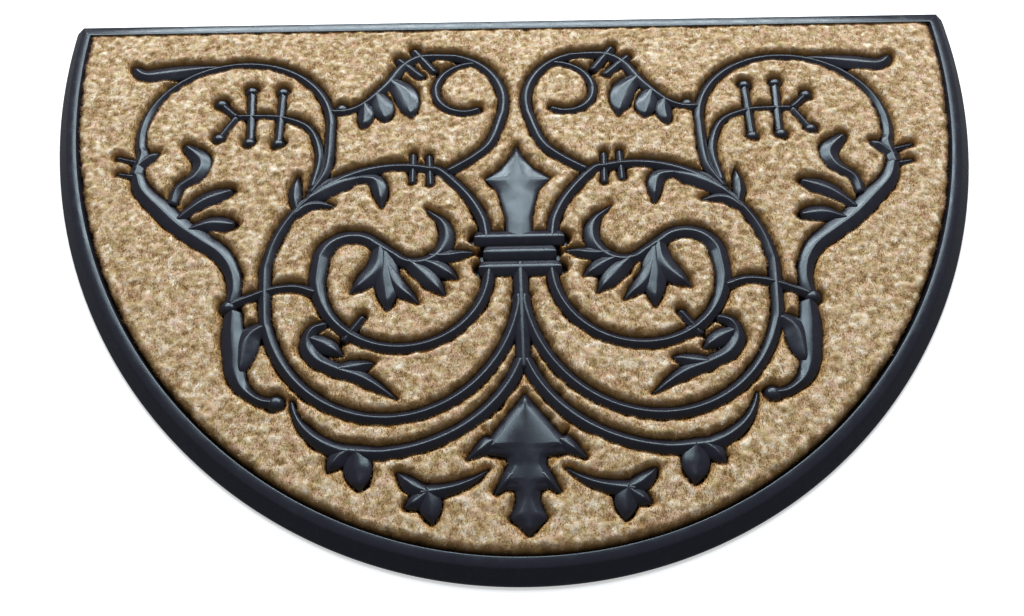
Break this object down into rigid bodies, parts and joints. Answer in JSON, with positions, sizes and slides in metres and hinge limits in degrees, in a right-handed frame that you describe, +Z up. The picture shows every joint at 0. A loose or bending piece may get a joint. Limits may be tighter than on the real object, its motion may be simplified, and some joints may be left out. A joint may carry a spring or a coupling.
{
  "type": "coir doormat",
  "caption": "Half-round doormat for wiping shoes: coir pile set in a moulded rubber tray with a raised border and wrought-iron style scrollwork.",
  "frame": {"origin": "under the middle of the mat, on the floor", "axes": "+X along the straight back edge, +Y from the rounded front to the back edge, +Z up"},
  "size_m": [0.914, 0.61, 0.017],
  "materials": {
    "rubber": "satin, moulded",
    "coir": "bristly cut pile"
  },
  "bodies": {
    "root": {"rubber_moulding": "rubber", "coir_field": "coir", "coir_inlay_01": "coir", "coir_inlay_02": "coir", "coir_inlay_03": "coir", "coir_inlay_04": "coir", "coir_inlay_05": "coir", "coir_inlay_06": "coir", "coir_inlay_07": "coir", "coir_inlay_08": "coir", "coir_inlay_09": "coir", "coir_inlay_10": "coir"}
  },
  "joints": []
}
